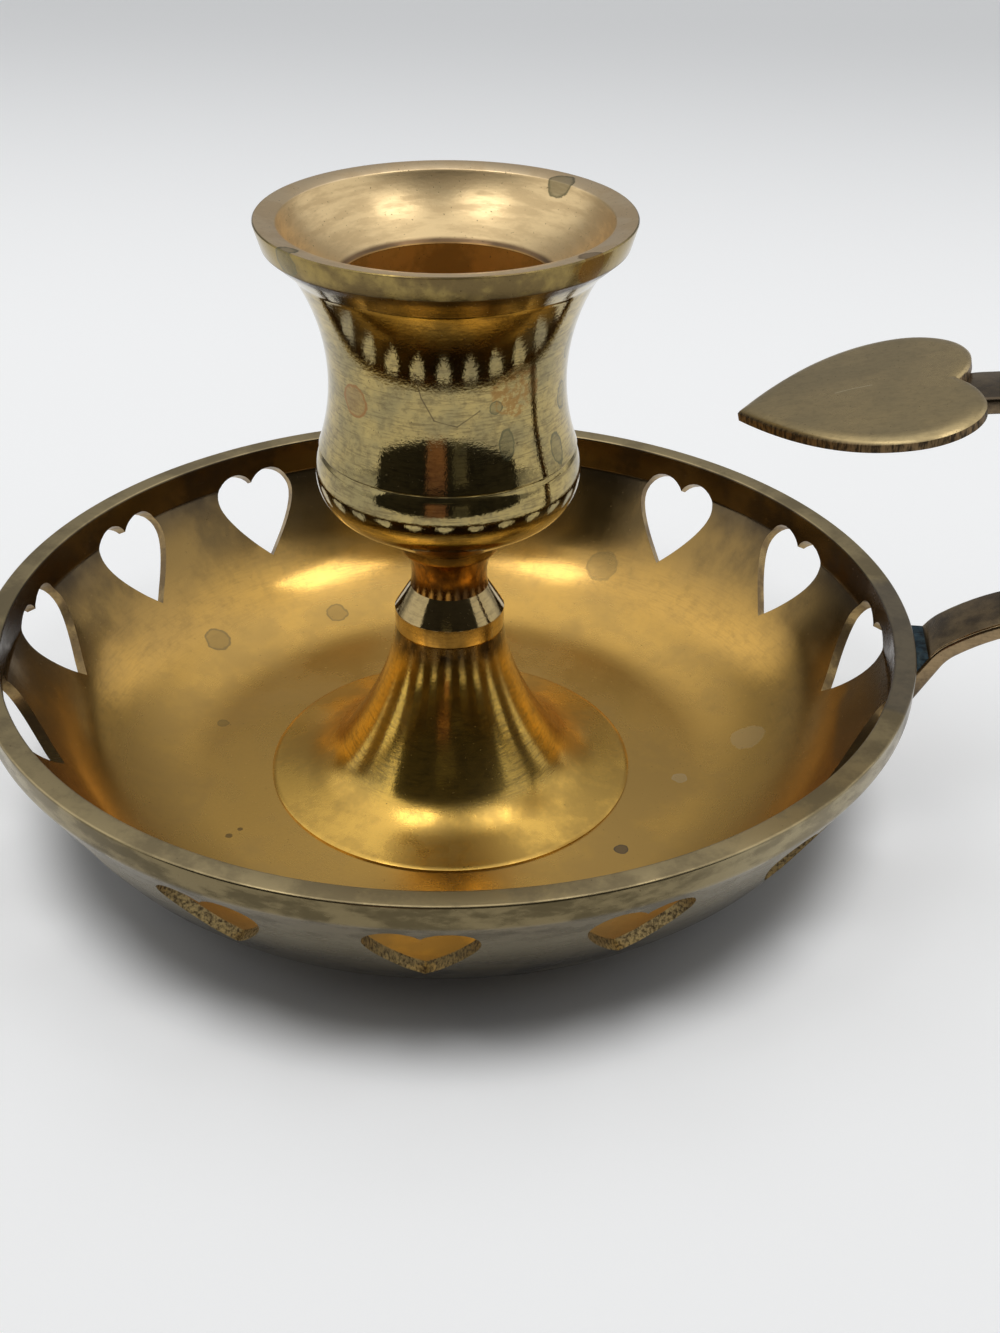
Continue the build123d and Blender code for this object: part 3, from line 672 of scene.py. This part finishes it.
def makeStrap():
    x, z = strap["start"]
    heading = strap["heading"]
    bpy.ops.mesh.primitive_plane_add(size=1)
    piece = bpy.context.object
    piece.name = piece.data.name = "handle_strap_bent"
    piece.scale = (strap["thickness"] * mm, strap["width"] * mm, 1)
    piece.rotation_euler = (0, radians(90 - heading), 0)
    piece.location = (x * mm, 0, z * mm)
    bpy.ops.object.transform_apply(location=True, rotation=True, scale=True)
    bpy.ops.object.mode_set(mode="EDIT")
    bpy.ops.mesh.bevel(offset=strap["corner"] * mm, segments=strap["cornerSteps"], affect="VERTICES")
    bpy.ops.mesh.select_all(action="SELECT")
    for size, turn in strap["moves"]:
        way = radians(heading)
        if turn:
            side = 1 if turn > 0 else -1
            steps = max(strap["fewestSteps"], round(abs(turn) / strap["turnStep"]))
            centre = (x - side * size * sin(way), z + side * size * cos(way))
            bpy.ops.mesh.spin(steps=steps, angle=radians(abs(turn)),
                              center=(centre[0] * mm, 0, centre[1] * mm), axis=(0, side, 0))
            heading += turn
            way = radians(heading)
            x, z = centre[0] + side * size * sin(way), centre[1] - side * size * cos(way)
        else:
            x, z = x + size * cos(way), z + size * sin(way)
            step = (size * cos(way) * mm, 0, size * sin(way) * mm)
            bpy.ops.mesh.extrude_region_move(TRANSFORM_OT_translate={"value": step})
    bpy.ops.mesh.select_all(action="SELECT")
    bpy.ops.mesh.remove_doubles(threshold=mergeGap)
    bpy.ops.mesh.normals_make_consistent(inside=False)
    bpy.ops.object.mode_set(mode="OBJECT")
    piece.select_set(False)
    # its foot is cut to fit the rim
    bpy.ops.mesh.primitive_cylinder_add(vertices=strap["rimSides"], depth=strap["rimDepth"] * mm,
                                        radius=(pan["radius"] + strap["rimGap"]) * mm)
    rim = bpy.context.object
    rim.select_set(False)
    cutOut(piece, rim)
    return piece


def makePlate():
    piece = heartCurve("thumb_plate_cut", plate)
    bpy.ops.object.mode_set(mode="EDIT")
    bpy.ops.mesh.select_all(action="SELECT")
    for rise, size in plate["steps"]:
        bpy.ops.mesh.extrude_region_move(TRANSFORM_OT_translate={"value": (0, 0, rise * mm)})
        bpy.ops.transform.resize(value=(size, size, 1), center_override=(0, plate["middle"] * mm, 0))
    bpy.ops.mesh.select_all(action="SELECT")
    bpy.ops.mesh.normals_make_consistent(inside=False)
    bpy.ops.object.mode_set(mode="OBJECT")
    slope = radians(plate["slope"])
    tip = (plate["tip"][0] + plate["thickness"] * sin(slope),
           panTop + plate["tip"][1] - plate["thickness"] * cos(slope))
    piece.matrix_world = (Matrix.Translation((tip[0] * mm, 0, tip[1] * mm))
                          @ Matrix.Rotation(-slope, 4, "Y") @ Matrix.Rotation(-pi / 2, 4, "Z"))
    bpy.ops.object.transform_apply(location=True, rotation=True, scale=True)
    bpy.ops.object.shade_smooth_by_angle(angle=smoothAngle)
    piece.select_set(False)
    return piece


dress(makeStrap(), "strap", "handle_strap")
dress(makePlate(), "plate", "thumb_plate")
print("handle ready")

for node, finish in {"strap_braze": "braze", "plate_braze": "braze", "tie_rod": "steel",
                     "rod_nut": "steel", "rod_washer": "strap"}.items():
    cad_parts[node].data.materials.clear()
    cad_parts[node].data.materials.append(finishes[finish])


# Stage: a pale floor in a white light tent that is open towards the viewer

stage = {
    "floorRadius": 3000, "floorSides": 96, "floorDrop": 0.05, "floorColour": (0.63, 0.635, 0.64),
    "floorRough": 0.9, "floorGlow": 0.39, "shadeFrom": 44.5, "shadeTo": 55,
    "farFrom": 120, "farTo": 480, "farShare": 0.33,
    # place, size and power
    "lamps": [((-132, -139, 500), (200, 140), 0.25), ((215, -65, 500), (200, 140), 0.22)],
}
screen = {
    "place": (115, -212, 164), "size": (810, 332), "tone": (0.04, 0.036, 0.028),
    "topTone": (0.07, 0.065, 0.055), "topFrom": 240, "topTo": 330, "shapeSoft": 14,
    # dim shapes by their reach in X, their reach in Z and their tone
    "shapes": [((-45, 28), (-60, 88), (0.50, 0.25, 0.15)), ((38, 100), (-60, 80), (0.20, 0.19, 0.15)),
               ((-40, 55), (100, 140), (0.22, 0.20, 0.12))],
}
room = {
    "overhead": 1.0, "behind": 0.28, "overheadLean": 0.25, "overheadEdge": (0.72, 1.0),
    # direction and strength
    "panels": [((-0.807, -0.142, 0.574), 0.95), ((0.837, 0.224, 0.5), 0.84)], "panelEdge": (0.66, 0.9),
    "tint": (0.97, 0.985, 1.0), "cameraSees": 0.86,
}
view = {
    "place": (23.61, -167.97, 121.77), "turn": 5.97, "tilt": 57.805, "roll": 0.583, "lens": 59.82,
    "sensor": 36, "nearest": 10,
}


def makeFloor():
    bpy.ops.mesh.primitive_circle_add(vertices=stage["floorSides"], radius=stage["floorRadius"] * mm,
                                      fill_type="NGON", location=(0, 0, -stage["floorDrop"] * mm))
    floor = bpy.context.object
    floor.name = "paleFloor"
    paper = bpy.data.materials.new("paleFloor")
    paper.use_nodes = True
    tree = paper.node_tree
    matt = tree.nodes["Principled BSDF"]
    matt.inputs["Base Color"].default_value = (*stage["floorColour"], 1)
    matt.inputs["Roughness"].default_value = stage["floorRough"]
    # a pale glow for the eye and for reflections; it is faded out round the object's foot, a painted
    # contact shadow, and dimmed far away, a painted falloff of light
    place = add(tree, "TexCoord").outputs["Object"]
    out = vectorCalc(tree, "LENGTH", place)
    # painted contact shadow: no glow near the object's foot
    near = ramp(tree, out, stage["shadeFrom"] * mm, stage["shadeTo"] * mm)
    back = add(tree, "SeparateXYZ", Vector=place).outputs[1]
    # painted falloff of light: dimmer towards the back
    far = ramp(tree, back, stage["farFrom"] * mm, stage["farTo"] * mm, 1, stage["farShare"])
    rays = add(tree, "LightPath")
    seen = calc(tree, "MAXIMUM", rays.outputs["Is Camera Ray"], rays.outputs["Is Glossy Ray"])
    power = calc(tree, "MULTIPLY", calc(tree, "MULTIPLY", near, far), stage["floorGlow"])
    glow = add(tree, "Emission", Strength=calc(tree, "MULTIPLY", seen, power))
    both = add(tree, "AddShader", i0=matt.outputs[0], i1=glow.outputs[0])
    tree.links.new(both.outputs[0], tree.nodes["Material Output"].inputs["Surface"])
    floor.data.materials.append(paper)
    floor.select_set(False)


def makeScreen():
    # the tent's open side: dark, paler towards its top edge, with dim shapes in its middle
    bpy.ops.mesh.primitive_plane_add(size=1, rotation=(pi / 2, 0, 0),
                                     location=[v * mm for v in screen["place"]])
    backdrop = bpy.context.object
    backdrop.name = "darkScreen"
    backdrop.scale = (screen["size"][0] * mm, screen["size"][1] * mm, 1)
    bpy.ops.object.transform_apply(location=True, rotation=True, scale=True)
    cloth = bpy.data.materials.new("darkScreen")
    cloth.use_nodes = True
    tree = cloth.node_tree
    parts = add(tree, "SeparateXYZ", Vector=add(tree, "TexCoord").outputs["Object"]).outputs
    tone = mixColour(tree, ramp(tree, parts[2], screen["topFrom"] * mm, screen["topTo"] * mm),
                     (*screen["tone"], 1), (*screen["topTone"], 1))
    for beside, above, shapeTone in screen["shapes"]:
        shape = 1.0
        for axis, (low, high) in ((0, beside), (2, above)):
            low, high, soft = low * mm, high * mm, screen["shapeSoft"] * mm
            shape = calc(tree, "MULTIPLY", shape, ramp(tree, parts[axis], low, low + soft))
            shape = calc(tree, "MULTIPLY", shape, ramp(tree, parts[axis], high, high - soft))
        tone = mixColour(tree, shape, tone, (*shapeTone, 1))
    matt = tree.nodes["Principled BSDF"]
    tree.links.new(tone, matt.inputs["Base Color"])
    matt.inputs["Roughness"].default_value = 1.0
    backdrop.data.materials.append(cloth)
    backdrop.visible_camera = False
    backdrop.select_set(False)


def makeRoom():
    # light by direction: bright overhead, a white panel at each side, dimmer behind and in front
    world = bpy.data.worlds.new("whiteTent")
    bpy.context.scene.world = world
    world.use_nodes = True
    tree = world.node_tree
    way = add(tree, "TexCoord").outputs["Generated"]
    x, y, z = add(tree, "SeparateXYZ", Vector=way).outputs
    above = calc(tree, "MULTIPLY_ADD", y, room["overheadLean"], z)
    above = ramp(tree, above, *room["overheadEdge"])
    glow = mixValue(tree, above, room["behind"], room["overhead"])
    for towards, strength in room["panels"]:
        facing = vectorCalc(tree, "DOT_PRODUCT", way, towards)
        glow = calc(tree, "MAXIMUM", glow, ramp(tree, facing, *room["panelEdge"], 0, strength))
    rays = add(tree, "LightPath")
    seen = mixValue(tree, rays.outputs["Is Camera Ray"], glow, room["cameraSees"])
    background = tree.nodes["Background"]
    background.inputs["Color"].default_value = (*room["tint"], 1)
    tree.links.new(seen, background.inputs["Strength"])


def makeLamps():
    for place, size, power in stage["lamps"]:
        bpy.ops.object.light_add(type="AREA", location=[v * mm for v in place])
        lamp = bpy.context.object
        lamp.rotation_euler = (-lamp.location).to_track_quat("-Z", "Y").to_euler()
        lamp.data.shape = "RECTANGLE"
        lamp.data.size, lamp.data.size_y = size[0] * mm, size[1] * mm
        lamp.data.energy = power
        lamp.select_set(False)


def makeCamera():
    bpy.ops.object.camera_add()
    camera = bpy.context.object
    camera.matrix_world = (Matrix.Translation([v * mm for v in view["place"]])
                           @ Matrix.Rotation(radians(view["turn"]), 4, "Z")
                           @ Matrix.Rotation(radians(view["tilt"]), 4, "X")
                           @ Matrix.Rotation(radians(view["roll"]), 4, "Z"))
    camera.data.sensor_fit = "HORIZONTAL"
    camera.data.sensor_width = view["sensor"]
    camera.data.lens = view["lens"]
    camera.data.clip_start = view["nearest"] * mm
    camera.data.dof.use_dof = False
    bpy.context.scene.camera = camera
    camera.select_set(False)


makeFloor()
makeScreen()
makeRoom()
makeLamps()
makeCamera()
bpy.context.scene.view_settings.view_transform = "Standard"
print("stage, lights and camera ready")
